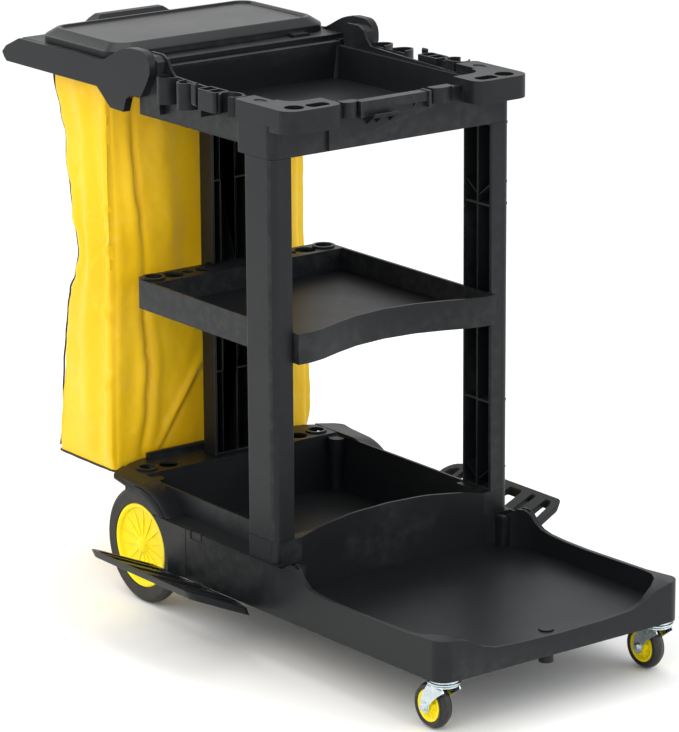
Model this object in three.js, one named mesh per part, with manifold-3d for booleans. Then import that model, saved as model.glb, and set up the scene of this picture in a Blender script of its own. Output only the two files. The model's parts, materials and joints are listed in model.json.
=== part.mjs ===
// Three-shelf housekeeping cart: moulded base on two large wheels and two swivel casters,
// two front columns and one wide rear column carrying a shelf and a top tray,
// a yoke behind the tray with a hinged lid over a hanging bag, and a ladder rack on each side.
// Millimetres, +Z up, the user's front towards -Y. Every y below is measured from the front
// face of the front columns; MID_Y moves the finished pieces so the frame sits mid length.
import * as THREE from "three";
import { mergeVertices } from "three/addons/utils/BufferGeometryUtils.js";
import Module from "manifold-3d";

const MID_Y = 179;
const GAP = 0.3;          // clearance kept between pieces that touch on the real cart

const COL_IN = 203;       // front columns, inner plane
const COL_OUT = 243;      // front columns, outer plane
const COL_DEPTH = 74;
const COL_TOP = 835;
const COL_FOOT = 206;     // where the columns stand on the base

const SIDE = 247;         // outer plane of the base
const FLOOR = 115;        // top of the base floors
const LEDGE = 168;        // shoulder beside the tub
const DECK_Z = 210;       // rear deck of the base
const DECK_FRONT = -432;
const DRAIN_Y = -388;     // drain plug through the front deck, on the middle line
const BASE_TOP = 208;     // tub rim
const TUB_REAR = 425;

const WHEEL_Y = 393;
const WHEEL_R = 100;
const WHEEL_IN = 217;
const WHEEL_OUT = 242.5;

const CASTER_X = 219;
const CASTER_Y = -405;
const CASTER_R = 37.5;
const CASTER_TRAIL = 27;

const SHELF_TOP = 550;
const SHELF_BOTTOM = 500;
const TRAY_TOP = 920;
const TRAY_FLOOR = 850;

const ARM_OUT = 236;
const LID_FRONT = 462;
const LID_BACK = 702;

const wasm = await Module();
wasm.setup();

const group = new THREE.Group();
group.name = "housekeeping_cart";

const finish = {
  black: [0x2b2c2d, 0.62, 0],
  bag: [0xf2c40f, 0.5, 0],
  hub: [0xf4dc00, 0.45, 0],
  tyre: [0x2e2d2b, 0.85, 0],
  castertyre: [0x141414, 0.55, 0],
  zinc: [0xc9cfd2, 0.28, 1],
  steel: [0xa9adb0, 0.35, 1],
};

// ---- solids -------------------------------------------------------------------------------
function solid(geometry) {
  const g = geometry.clone();
  g.deleteAttribute("normal");
  g.deleteAttribute("uv");
  const m = mergeVertices(g, 1e-4);
  return new wasm.Manifold(new wasm.Mesh({
    numProp: 3,
    vertProperties: new Float32Array(m.attributes.position.array),
    triVerts: new Uint32Array(m.index.array),
  }));
}

function union(list) {
  return list.reduce((a, b) => a.add(b));
}

function cut(body, list) {
  return list.reduce((a, b) => a.subtract(b), body);
}

function shapeOf(points, holes = []) {
  const s = new THREE.Shape(points.map(([a, b]) => new THREE.Vector2(a, b)));
  for (const h of holes) s.holes.push(new THREE.Path(h.map(([a, b]) => new THREE.Vector2(a, b))));
  return s;
}

function plate(points, z0, z1, holes) {
  const g = new THREE.ExtrudeGeometry(shapeOf(points, holes), { depth: z1 - z0, bevelEnabled: false });
  return solid(g.translate(0, 0, z0));
}

// profile given in (y, z), swept along x
function prismX(points, x0, x1) {
  const g = new THREE.ExtrudeGeometry(shapeOf(points), { depth: x1 - x0, bevelEnabled: false });
  const m = new THREE.Matrix4().makeBasis(
    new THREE.Vector3(0, 1, 0), new THREE.Vector3(0, 0, 1), new THREE.Vector3(1, 0, 0));
  return solid(g.applyMatrix4(m).translate(x0, 0, 0));
}

// profile given in (x, z), swept along y
function prismY(points, y0, y1) {
  const g = new THREE.ExtrudeGeometry(shapeOf(points), { depth: y1 - y0, bevelEnabled: false });
  const m = new THREE.Matrix4().makeBasis(
    new THREE.Vector3(1, 0, 0), new THREE.Vector3(0, 0, 1), new THREE.Vector3(0, -1, 0));
  return solid(g.applyMatrix4(m).translate(0, y1, 0));
}

function box(x0, x1, y0, y1, z0, z1) {
  const g = new THREE.BoxGeometry(x1 - x0, y1 - y0, z1 - z0);
  return solid(g.translate((x0 + x1) / 2, (y0 + y1) / 2, (z0 + z1) / 2));
}

function post(x, y, r, z0, z1, seg = 24) {
  const g = new THREE.CylinderGeometry(r, r, z1 - z0, seg).rotateX(Math.PI / 2);
  return solid(g.translate(x, y, (z0 + z1) / 2));
}

function rod(x0, x1, y, z, r, seg = 24) {
  const g = new THREE.CylinderGeometry(r, r, x1 - x0, seg).rotateZ(Math.PI / 2);
  return solid(g.translate((x0 + x1) / 2, y, z));
}

// closed profile in (radius, height) spun about a line along x
function wheelPart(profile, x, y, z, side, seg = 48) {
  const pts = profile.map(([r, h]) => new THREE.Vector2(r, h));
  const g = new THREE.LatheGeometry(pts, seg).rotateZ(-side * Math.PI / 2);
  return solid(g.translate(x, y, z));
}

function turned(profile, x, y, seg = 32) {
  const pts = profile.map(([r, h]) => new THREE.Vector2(r, h));
  return solid(new THREE.LatheGeometry(pts, seg).rotateX(Math.PI / 2).translate(x, y, 0));
}

// solid through closed rings with the same number of points; the first and last ring are capped
function loft(rings, capped = true) {
  const n = rings[0].length;
  const pos = rings.flat(2);
  const idx = [];
  const last = capped ? rings.length - 1 : rings.length;
  for (let k = 0; k < last; k++) {
    const a = k * n;
    const b = ((k + 1) % rings.length) * n;
    for (let i = 0; i < n; i++) {
      const j = (i + 1) % n;
      idx.push(a + i, a + j, b + j, a + i, b + j, b + i);
    }
  }
  if (capped) {
    for (const [k, flip] of [[0, true], [rings.length - 1, false]]) {
      const r = rings[k].map((p) => new THREE.Vector3(...p));
      const nrm = new THREE.Vector3();
      for (let i = 0; i < n; i++) nrm.add(new THREE.Vector3().crossVectors(r[i], r[(i + 1) % n]));
      const ax = ["x", "y", "z"].reduce((a, b) => (Math.abs(nrm[b]) > Math.abs(nrm[a]) ? b : a), "x");
      const [u, v] = { x: ["y", "z"], y: ["z", "x"], z: ["x", "y"] }[ax];
      const flat = r.map((p) => new THREE.Vector2(p[u], p[v]));
      const back = nrm[ax] < 0;
      if (back) flat.forEach((p) => { p.x = -p.x; });
      for (const [a, b, c] of THREE.ShapeUtils.triangulateShape(flat, [])) {
        if (flip) idx.push(k * n + a, k * n + c, k * n + b);
        else idx.push(k * n + a, k * n + b, k * n + c);
      }
    }
  }
  const at = (i) => new THREE.Vector3(pos[3 * i], pos[3 * i + 1], pos[3 * i + 2]);
  let volume = 0;
  for (let i = 0; i < idx.length; i += 3) {
    volume += at(idx[i]).dot(at(idx[i + 1]).cross(at(idx[i + 2])));
  }
  if (volume < 0) idx.reverse();
  const g = new THREE.BufferGeometry();
  g.setAttribute("position", new THREE.Float32BufferAttribute(pos, 3));
  g.setIndex(idx);
  return solid(g);
}

// rectangle outline with a radius at each corner, counter-clockwise from the -x -y corner
function rounded(x0, x1, y0, y1, radii, steps = 6) {
  const [a, b, c, d] = Array.isArray(radii) ? radii : [radii, radii, radii, radii];
  const pts = [];
  const corner = (cx, cy, r, start) => {
    if (r <= 0) {
      pts.push([cx, cy]);
      return;
    }
    for (let i = 0; i <= steps; i++) {
      const t = start + (i / steps) * Math.PI / 2;
      pts.push([cx + r * Math.cos(t), cy + r * Math.sin(t)]);
    }
  };
  corner(x0 + a, y0 + a, a, Math.PI);
  corner(x1 - b, y0 + b, b, 1.5 * Math.PI);
  corner(x1 - c, y1 - c, c, 0);
  corner(x0 + d, y1 - d, d, 0.5 * Math.PI);
  return pts;
}

function circle(x, y, r, n = 24) {
  return Array.from({ length: n }, (_, i) => {
    const t = (i / n) * 2 * Math.PI;
    return [x + r * Math.cos(t), y + r * Math.sin(t)];
  });
}

function mirrorX(body) {
  const mesh = body.getMesh();
  const p = Float32Array.from(mesh.vertProperties, (v, i) => (i % 3 === 0 ? -v : v));
  const t = Uint32Array.from(mesh.triVerts);
  for (let i = 0; i < t.length; i += 3) [t[i], t[i + 1]] = [t[i + 1], t[i]];
  return new wasm.Manifold(new wasm.Mesh({ numProp: 3, vertProperties: p, triVerts: t }));
}

const both = (body) => body.add(mirrorX(body));

function add(name, body, kind) {
  const mesh = body.getMesh();
  const g = new THREE.BufferGeometry();
  const p = Float32Array.from(mesh.vertProperties, (v, i) => (i % 3 === 1 ? v - MID_Y : v));
  g.setAttribute("position", new THREE.BufferAttribute(p, 3));
  g.setIndex(new THREE.BufferAttribute(Uint32Array.from(mesh.triVerts), 1));
  g.computeVertexNormals();
  const [color, roughness, metalness] = finish[kind];
  const m = new THREE.Mesh(g, new THREE.MeshStandardMaterial({ color, roughness, metalness }));
  m.name = name;
  group.add(m);
}

// a piece modelled on the -x side, with its mirror image on the +x side
function pair(stem, body, kind) {
  add(`${stem}_left`, body, kind);
  add(`${stem}_right`, mirrorX(body), kind);
}

// ---- base moulding ------------------------------------------------------------------------
function baseBottom(y) {
  return 90 - 10 * Math.min(1, Math.max(0, (y + 432) / 735));
}

function fenderRing(x, radius, top, rear, zFoot) {
  const outer = [];
  const inner = [];
  const t0 = Math.PI - Math.asin((zFoot - WHEEL_R) / radius);
  const steps = 9;
  for (let i = 0; i <= steps; i++) {
    const t = t0 + (Math.PI / 2 - t0) * (i / steps);
    const y = WHEEL_Y + radius * Math.cos(t);
    const z = Math.min(top, WHEEL_R + radius * Math.sin(t));
    outer.push([x, y, z]);
    inner.push([x, y + 3.2 * -Math.cos(t), z - 3.4 * Math.sin(t)]);
  }
  outer.push([x, rear, top]);
  inner.push([x, rear, top - 3.4]);
  return [...outer, ...inner.reverse()];
}

function baseMoulding() {
  const deckPlan = rounded(-SIDE, SIDE, DECK_FRONT, 24, [25, 25, 0, 0]);
  const sideTop = [[-440, 157], [-407, 157], [-345, 152], [-280, 150], [-200, 148.5], [-146, 149],
    [-110, 151], [-90, 155], [-75, 164], [-63, 176], [-53, 181], [-40, 180], [-28, 172], [-20, LEDGE]];
  const side = [[-440, 60], [20, 60], [20, LEDGE], ...sideTop.slice().reverse()];
  const lipHalf = [[221, 157], [192, 150], [163, 135], [138, 128], [90, 125], [42, 123.5], [0, 123]];
  const lip = [[-250, 60], [250, 60], [250, 199], [221, 199], ...lipHalf,
    ...lipHalf.slice(0, -1).reverse().map(([x, z]) => [-x, z]), [-221, 199], [-250, 199]];
  const pan = [[-183, 4], [-214, -18], [-229, -40], [-237, -68], [-240, -110], [-240, -345],
    [-234, -372], [-219, -396], [-196, -413], [-166, -422], [-120, -426], [0, -427.5],
    [120, -426], [166, -422], [196, -413], [219, -396], [234, -372], [240, -345],
    [240, -110], [237, -68], [229, -40], [214, -18], [183, 4], [90, 12], [0, 15], [-90, 12]];
  let deck = plate(deckPlan, 60, 200).intersect(prismX(side, -260, 260));
  deck = deck.intersect(prismY(lip, -440, -95).add(box(-260, 260, -95.5, 30, 50, 210)));
  deck = cut(deck, [plate(pan, FLOOR, 260)]);

  // tub walls, the bowed front wall rises towards the middle
  const bow = (o) => [[-189, 0 + o], [-124, 9 + o], [-62, 14 + o], [0, 15 + o], [62, 14 + o],
    [124, 9 + o], [189, 0 + o]];
  const tubPlan = [[-207, 2], [-189, 0], ...bow(0), [207, 2], [207, TUB_REAR + 4], [-207, TUB_REAR + 4]];
  let tub = plate(tubPlan, 60, BASE_TOP);
  const crown = plate([...bow(0), ...bow(4).reverse()], 200, 230)
    .intersect(prismY([[-189, 195], [189, 195], [189, 206], [150, 213], [82, 220.5], [0, 223],
      [-82, 220.5], [-150, 213], [-189, 206]], -10, 40));
  tub = cut(tub, [
    loft([
      rounded(-194, 194, 21, 415, [18, 18, 14, 14]).map(([x, y]) => [x, y, FLOOR]),
      rounded(-203, 203, 19, TUB_REAR, [6, 6, 10, 10]).map(([x, y]) => [x, y, DECK_Z + 1]),
    ]),
    box(-260, 260, -5, COL_DEPTH + GAP, COL_FOOT, 240),
  ]);
  const pilaster = union([-1, 1].map((s) => post(s * 193, 411, 15, FLOOR - 4, 206, 20)));

  // side pods with the wheel openings
  const pod = [[-30, 60], [300, 60], [301, 95], [306, 122], [319, 145], [334, 160], [345, LEDGE],
    [-30, LEDGE]];
  let pods = both(prismX(pod, -SIDE, -205));
  const foot = both(plate(rounded(-COL_OUT, -190, 0, COL_DEPTH, [14, 0, 0, 4]), 100, COL_FOOT));
  const fender = both(loft([
    fenderRing(-SIDE, 97, 208, 458, 150),
    fenderRing(-(SIDE - 2), 101, 209, 461, 150),
    fenderRing(-(SIDE - 5), 105.4, 209.6, 465, 150),
    fenderRing(-(SIDE - 14), 109, 210.2, 474, 150),
    fenderRing(-205, 112, 210.7, 491.5, 150),
  ]));
  const rearPlan = [[-206.2, 426.3], [206.2, 426.3], [206.2, 486], [186, 499], [165, 505], [145, 508],
    [-145, 508], [-165, 505], [-186, 499], [-206.2, 486]];
  const rearDeck = plate(rearPlan, DECK_Z - 4, DECK_Z);
  const rearSkirt = plate([[-204, 488], [-186, 496], [-145, 505], [145, 505], [186, 496], [204, 488],
    [204, 484], [185, 492], [145, 501], [-145, 501], [-185, 492], [-204, 484]], 140, DECK_Z - 1);
  const rearLip = prismX([[491, 208], [503, 208], [503, 219], [500, 222], [494, 222], [491, 219]], -150, 150);
  const colSeat = plate(rounded(-56, 56, TUB_REAR + 2, 482, 6, 3), 165, DECK_Z);
  let body = union([deck, tub, crown, pilaster, pods, foot, fender, rearDeck, rearSkirt, rearLip, colSeat]);

  const well = both(rod(-SIDE + 3.5, -208, WHEEL_Y, WHEEL_R, 105, 44));
  const wellBox = both(box(-SIDE + 3.5, -208, 300, 520, 50, 100));
  const cornerPocket = both(plate([[-SIDE + 4, -4], [-204, -4], [-206, -8], [-218, -19], [-232, -36],
    [-240, -60], [-SIDE + 4, -60]], 140, 240));
  const holes = [];
  for (const s of [-1, 1]) {
    holes.push(post(s * 180, 455, 14, 190, 240, 16), post(s * 138, 452, 17, 190, 240, 16));
  }
  // hollow underside with ribs left between the pockets
  const pockets = [];
  for (const [x0, x1] of [[-198, -70], [-65, 65], [70, 198]]) {
    for (const [y0, y1] of [[30, 196], [202, 374]]) pockets.push(box(x0, x1, y0, y1, 50, FLOOR - 4));
    pockets.push(box(Math.max(x0, -188), Math.min(x1, 188), -425, -222, 50, FLOOR - 4));
    const lo = x0 < -100 ? -238 : x0;
    const hi = x1 > 100 ? 238 : x1;
    pockets.push(box(lo, hi, -216, -6, 50, FLOOR - 4));
  }
  const bottom = prismX([[-460, 40], [540, 40], [540, baseBottom(540)], [303, baseBottom(303)],
    [DECK_FRONT, baseBottom(DECK_FRONT)], [-460, baseBottom(DECK_FRONT)]], -270, 270);
  const rearUnder = box(-203, 203, 433, 483, 50, 150);
  const axleBore = rod(-260, 260, WHEEL_Y, WHEEL_R, 6.3, 24);
  const stemHoles = both(post(-CASTER_X, CASTER_Y, 6.3, 50, 108));
  const drain = post(0, DRAIN_Y, 9.3, 50, 150, 20);
  // joint line on the side and the shallow seat of the rack latch
  const seam = both(box(-SIDE - 2, -SIDE + 1, 246.2, 247.8, 60, LEDGE + 2));
  const latchSeat = both(box(-SIDE - 2, -SIDE + 1.2, 190, 233, 155, LEDGE + 2));
  body = cut(body, [well, wellBox, cornerPocket, ...holes, ...pockets, bottom, axleBore,
    stemHoles, drain, seam, latchSeat]);
  body = body.add(both(box(-SIDE, -SIDE + 6, 203, 219, 158, LEDGE + 1.6)));
  return body.add(both(ringBoss(-180, 455, 19, 14, DECK_Z - 1, DECK_Z + 3)));
}

function ringBoss(x, y, r1, r0, z0, z1) {
  return post(x, y, r1, z0, z1, 16).subtract(post(x, y, r0, z0 - 2, z1 + 2, 16));
}

add("base_moulding", baseMoulding(), "black");

// ---- columns ------------------------------------------------------------------------------
function frontColumn() {
  const z0 = COL_FOOT + GAP;
  const z1 = COL_TOP - GAP;
  const outer = rounded(-COL_OUT, -COL_IN, 0, COL_DEPTH, [14, 2, 2, 6], 5);
  const shell = plate(outer, z0, z1);
  const hollow = box(-COL_OUT + 4, -COL_IN + 5, 5, COL_DEPTH - 5, z0 - 5, z1 + 5);
  const ribs = [box(-COL_OUT + 3, -COL_IN - 1, 35, 39, z0, z1)];
  for (const z of [z0 + 2, 360, 696, z1 - 2]) {
    ribs.push(box(-COL_OUT + 3, -COL_IN - 1, 4, COL_DEPTH - 4, z - 2, z + 2));
  }
  for (const z of [245, 735]) {
    for (const [a, b] of [[4, 36], [COL_DEPTH - 4, 38]]) {
      ribs.push(prismX([[a, z], [a, z - 3], [b, z - 27], [b, z - 24]], -COL_OUT + 3, -COL_IN - 3));
    }
  }
  return union([shell.subtract(hollow), ...ribs]);
}
pair("front_column", frontColumn(), "black");

function rearColumn() {
  const z0 = DECK_Z + GAP;
  const z1 = COL_TOP - GAP;
  const shell = plate(rounded(-50, 50, 435, 477, [3, 3, 10, 10]), z0, z1);
  const parts = [shell.subtract(box(-45, 45, 430, 472, z0 - 5, z1 + 5))];
  for (const x of [-29, 0, 29]) parts.push(box(x - 1.5, x + 1.5, 440, 474, z0, z1));
  for (const z of [z0 + 2, 360, 696, z1 - 2]) parts.push(box(-47, 47, 440, 474, z - 2, z + 2));
  return cut(union(parts), [box(-56, 56, 425, 454.8, SHELF_BOTTOM - 6, SHELF_TOP + 2)]);
}
add("rear_column", rearColumn(), "black");

// ---- middle shelf -------------------------------------------------------------------------
function middleShelf() {
  const h = COL_IN - GAP;
  const lip = (o) => [[-h, -14 + o], [-180, -15 + o], [-150, -9 + o], [-110, 6 + o], [-60, 21 + o],
    [0, 27 + o], [60, 21 + o], [110, 6 + o], [150, -9 + o], [180, -15 + o], [h, -14 + o]];
  const rear = rounded(-h, h, 380, 454, [0, 0, 26, 26]).slice(1, -1);
  const plan = [...lip(0), ...rear.slice(1)];
  const top = SHELF_TOP;
  let body = plate(plan, SHELF_BOTTOM, top);
  const inner = (m) => [...lip(m).map(([x, y]) => [Math.max(-h + m, Math.min(h - m, x)), y]),
    [h - m, 398], [-h + m, 398]];
  body = cut(body, [plate(inner(5), 512, top + 10)]);
  const under = [[-h + 4, 14], [-60, 32], [60, 32], [h - 4, 14], [h - 4, 396], [-h + 4, 396]];
  body = cut(body, [plate(under, SHELF_BOTTOM - 5, 508)]);
  const strip = [[-h + 4, 402], [h - 4, 402], [h - 4, 424], [h - 26, 449], [-h + 26, 449], [-h + 4, 424]];
  body = cut(body, [plate(strip, SHELF_BOTTOM - 5, top - 4)]);
  const ribs = [-100, 0, 100].map((x) => box(x - 1.5, x + 1.5, 36, 450, SHELF_BOTTOM + 1, 510));
  body = union([body, ...ribs, ...[90, 180, 270].map((y) => box(-h + 2, h - 2, y, y + 3, SHELF_BOTTOM + 3, 510.5))]);
  const cups = [];
  for (const [x, r] of [[178, 15], [139, 19], [108, 10], [80, 13]]) {
    cups.push(...[-1, 1].map((s) => post(s * x, 427, r, SHELF_BOTTOM - 5, top + 10, r > 14 ? 16 : 12)));
  }
  body = cut(body, cups);
  const bosses = [-1, 1].map((s) => ringBoss(s * 178, 427, 20, 15, top - 2, top + 3.5));
  return cut(union([body, ...bosses]), [box(-51, 51, 448, 470, SHELF_BOTTOM - 5, top - 5)]);
}
add("middle_shelf", middleShelf(), "black");

// ---- top tray -----------------------------------------------------------------------------
function topTray() {
  const h = COL_IN;
  const parts = [];
  parts.push(plate(rounded(-h, h, 0, 424, [0, 0, 4, 4]), COL_TOP, 905));
  for (const s of [-1, 1]) {
    const x0 = s < 0 ? -COL_OUT : h - 2;
    const x1 = s < 0 ? -h + 2 : COL_OUT;
    const radii = s < 0 ? [14, 0, 0, 5] : [0, 14, 5, 0];
    parts.push(plate(rounded(x0, x1, 0, 92, radii, 5), COL_TOP, 890));
    // side strap carrying the tool holders
    parts.push(box(Math.min(s * 202, s * 210), Math.max(s * 202, s * 210), 60, 400, 843, 874));
    parts.push(box(Math.min(s * 202, s * 210), Math.max(s * 202, s * 210), 97, 345, 870, 898));
    parts.push(prismX([[88, 860], [330, 860], [345, 874], [392, 874], [392, 940], [384, 946],
      [352, 946], [338, 940], [330, 925], [318, 915], [200, 911], [88, 906]],
    Math.min(s * 199, s * 204), Math.max(s * 199, s * 204)));
    parts.push(prismX([[336, 850], [392, 850], [392, 936], [380, 944], [352, 944], [340, 936]],
      Math.min(s * 203, s * 221.7), Math.max(s * 203, s * 221.7)));
  }
  // front band with two shallow half-round columns and the raised panel with the middle hook
  parts.push(box(-133.5, 133.5, -6, 8, COL_TOP + 2, 908));
  for (const [x0, x1] of [[-108, -79], [72, 114]]) {
    const r = (x1 - x0) / 2;
    const ring = Array.from({ length: 13 }, (_, i) => {
      const t = Math.PI + (i / 12) * Math.PI;
      return [(x0 + x1) / 2 + r * Math.cos(t), -5 + 11 * Math.sin(t)];
    });
    parts.push(plate([...ring, [x1, 6], [x0, 6]], 886, 912));
  }
  for (const x of [-76, 62]) parts.push(box(x - 2.5, x + 2.5, -17, 6, 884, 911));
  parts.push(prismY([[-74, 884], [-4, 884], [6, 894], [62, 894], [62, 909.5], [-74, 909.5]], -13, 6));
  parts.push(prismX([[0, 881.5], [0, 885], [-22, 885], [-28, 890], [-30, 889], [-23, 881.5]], -60, -10));
  for (const x of [-58, -39, -12]) parts.push(prismX([[0, 866], [0, 883], [-22, 883]], x - 1.5, x + 1.5));
  parts.push(prismX([[0, 876], [0, 895], [-12, 895]], 36.5, 39.5));
  let body = union(parts);

  // tray cavity
  body = cut(body, [loft([
    rounded(-190, 190, 24, 405, [16, 16, 12, 12]).map(([x, y]) => [x, y, TRAY_FLOOR]),
    rounded(-198, 198, 10, 412, [34, 34, 12, 12]).map(([x, y]) => [x, y, 960]),
  ])]);
  body = body.add(plate([[-200, 403], [200, 403], [200, 418], [-200, 418]], COL_TOP + 4, 912));
  const cuts = [];
  for (const s of [-1, 1]) {
    // sleeve over the column head
    const c = [s * 207, s * 237].sort((a, b) => a - b);
    cuts.push(box(c[0], c[1], 6, 68, 820, 876));
  }
  // hollow underside
  for (const [x0, x1] of [[-199, -68], [-64, -1.5], [1.5, 64], [68, 199]]) {
    for (const [y0, y1] of [[10, 208], [212, 399]]) cuts.push(box(x0, x1, y0, y1, 820, TRAY_FLOOR - 4));
  }
  return cut(body, cuts);
}
add("top_tray", topTray(), "black");

// corner caps over the column heads, each with a deep round hole and a long slot
function cornerCap() {
  const front = [[-246, -0.3], [-246, -24], [-244.1, -33.6], [-238.7, -41.7], [-230.6, -47.1],
    [-221, -49], [-160, -49], [-143, -46], [-136, -38], [-134, -28], [-134, -0.3]];
  const side = [[-246, -4], [-204.3, -4], [-204.3, 96], [-240, 96], [-246, 90]];
  const lip = [[-204.6, -4], [-134, -4], [-134, 15], [-160, 15], [-170, 15.5], [-179, 17], [-188, 22.5],
    [-194.5, 32], [-196, 45], [-204.6, 45]];
  const body = union([plate(front, 882, TRAY_TOP), plate(side, 890.3, TRAY_TOP),
    plate(lip, 905.3, TRAY_TOP)]);
  const thumb = circle(-222, 55, 9, 16).map(([x, y]) => [x, 55 + (y - 55) * 1.6]);
  return cut(body, [
    post(-212, -20, 16, 888, 940),
    plate(rounded(-190, -150, -37, -13, 9, 4), 888, 940),
    plate(thumb, TRAY_TOP - 1.5, 940),
  ]);
}
pair("corner_cap", cornerCap(), "black");

// screws at the bottom of the corner holes
pair("cap_screw", post(-212, -20, 5.5, 888 + GAP, 891.5, 16), "zinc");

// ---- tool holders on both sides of the tray --------------------------------------------------
function gripClip() {
  // two hollow half-round jaws with a handle's width between them
  const lobe = (y, r, depth, z0, z1) => plate(Array.from({ length: 13 }, (_, i) => {
    const t = (i / 12) * Math.PI;
    return [-212 - depth * Math.sin(t), y + r * Math.cos(t)];
  }), z0, z1);
  const jaws = [257, 313].map((y) => cut(lobe(y, 18, 28, 874, 918), [lobe(y, 14.5, 24.5, 878, 930)]));
  return union([...jaws, box(-213, -210.3, 239, 331, 876, 914)]);
}

function boxClip() {
  const outer = plate(rounded(-240, -210.3, 155, 205, [6, 2, 2, 6], 4), 884, 918);
  return cut(outer, [
    plate(rounded(-236.5, -214, 159, 178, 3, 3), 888, 930),
    plate(rounded(-236.5, -214, 182, 201, 3, 3), 888, 930),
  ]).add(box(-238, -210.3, 196, 202, 872, 886));
}

function pegHook() {
  return prismY([[-210.3, 886], [-210.3, 896], [-231, 896], [-233, 898], [-233, 922], [-236, 924],
    [-238.5, 922], [-238.5, 890], [-234.5, 886]], 210, 223);
}

function ringClip() {
  const oval = (rx, ry) => circle(0, 0, 1, 28).map(([a, b]) => [-229.7 + rx * a, 122 + ry * b]);
  const ring = plate(oval(19, 24), 888, 920).subtract(plate(oval(15.5, 20.5), 880, 930));
  return union([ring, box(-214.5, -210.3, 108, 136, 880, 918)]).subtract(box(-260, -236, 110, 134, 880, 930));
}

pair("grip_clip", gripClip(), "black");
pair("box_clip", boxClip(), "black");
pair("peg_hook", pegHook(), "black");
pair("ring_clip", ringClip(), "black");

// ---- yoke that carries the bag ----------------------------------------------------------------
function bagYoke() {
  const arm = [[422, 843], [460, 844], [499, 874], [777, 874], [784, 880], [790, 889], [777, 901],
    [736, 919], [569, 920], [499, 919], [487, 920], [475, 923.5], [461, 930], [445, 938], [429, 945.5],
    [413, 950.5], [395, 953.5], [367, 953.5], [358, 951.8], [350.5, 947], [345.2, 940], [343, 931],
    [343, 918], [353, 900], [369, 878], [377, 874], [401, 874], [413, 866]];
  const armBody = prismX(arm, -ARM_OUT, -ARM_OUT + 14);
  const frontBar = prismX([[425.5, 872], [466, 872], [466, 917], [425.5, 917]], -ARM_OUT + 10, ARM_OUT - 10);
  const top = plate(rounded(-ARM_OUT + 9, ARM_OUT - 9, 425.5, 737, 0), 912, 919.7,
    [rounded(-198, 198, 474, 690, 30, 4).reverse()]);
  const nose = plate([[-ARM_OUT + 10, 412.5], [-206, 412.5], [-206, 430], [-ARM_OUT + 10, 430]], 872, 912);
  const rearBar = prismX([[731, 878], [781, 878], [783, 890], [777, 900], [749, 912], [731, 914]],
    -ARM_OUT + 10, ARM_OUT - 10);
  const ledge = (x0, x1) => box(x0, x1, 440, 769, 874, 882);
  const grip = prismY([[-84, 905], [84, 905], [84, 926], [66, 940], [-66, 940], [-84, 926]], 733, 761)
    .intersect(prismX([[729, 900], [765, 900], [765, 926], [755, 940.5], [740, 940.5], [729, 928]], -90, 90));
  const seat = prismX([[413, 836], [470, 836], [470, 880], [426, 880], [426, 860], [413, 856]], -62, 62);
  let body = union([armBody, mirrorX(armBody), frontBar, top, nose, mirrorX(nose), rearBar, grip,
    ledge(-ARM_OUT + 10, -212), ledge(212, ARM_OUT - 10)]);
  const neck = box(-62, 62, 426, 484, COL_TOP + GAP, 880);
  body = cut(body.add(neck), [
    box(-170, -128, 443, 458.5, 908, 930), box(128, 170, 443, 458.5, 908, 930),
    box(-56, 56, 432, 478, 826, 866),
    box(-221, 221, 736, 773, 860, 893),
  ]);
  return body;
}
add("bag_yoke", bagYoke(), "black");

// ---- lid ------------------------------------------------------------------------------------
function lid() {
  const outline = (i) => rounded(-221 + i, 221 - i, LID_FRONT + i, LID_BACK - i, 36 - 0.55 * i, 7);
  const ring = (i, z) => outline(i).map(([x, y]) => [x, y, z]);
  const z0 = 920.2;
  const shell = loft([ring(0, z0), ring(0, z0 + 10.5), ring(1.5, z0 + 12.5), ring(16, z0 + 22.6),
    ring(18, z0 + 23.8), ring(21.5, z0 + 23.8)]);
  const dish = loft([ring(25, z0 + 20.2), ring(22, z0 + 24.5), ring(22, z0 + 36)]);
  const under = loft([ring(4, z0 - 5), ring(4, z0 + 8), ring(18, z0 + 16.8)]);
  const tabs = [-1, 1].flatMap((s) => [
    box(s * 149 - 15, s * 149 + 15, 446.5, LID_FRONT + 6, z0, z0 + 3.8),
    box(s * 149 - 14, s * 149 + 14, 447.5, 452.5, 915.6, z0 + 2),
  ]);
  return union([shell.subtract(dish).subtract(under), ...tabs]);
}
add("lid", lid(), "black");

// ---- bag ----------------------------------------------------------------------------------
// the back of the bag: held open at the hem, drawn in at the waist, full at the bottom
const BAG_BACK = [[903, 690], [800, 661], [724, 649], [642, 633], [562, 617], [521, 628], [457, 655],
  [355, 672], [190, 692]];

function bagRing(z, back, m = 0) {
  // t: 0 at the hem under the yoke, 1 at the bottom
  const t = (903 - z) / 713;
  const front = 513 + 6 * Math.sin(t * Math.PI);
  const left = 202 + 4 * Math.sin(t * 2.6);
  const right = 202 + 9 * t;
  return rounded(-left + m, right - m, front + m, back - m, [16, 16, 30, 30], 3)
    .map(([x, y]) => [x, y, z]);
}

function bag() {
  const outer = BAG_BACK.map(([z, back]) => bagRing(z, back));
  const inner = BAG_BACK.map(([z, back]) => bagRing(z, back, 2.5));
  const down = outer.slice().reverse();
  const hollow = inner.slice().reverse();
  hollow[0] = hollow[0].map(([x, y]) => [x, y, 193]);
  hollow.push(hollow[hollow.length - 1].map(([x, y]) => [x, y, 930]));
  return loft(down).subtract(loft(hollow));
}
add("bag", bag(), "bag");

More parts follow.
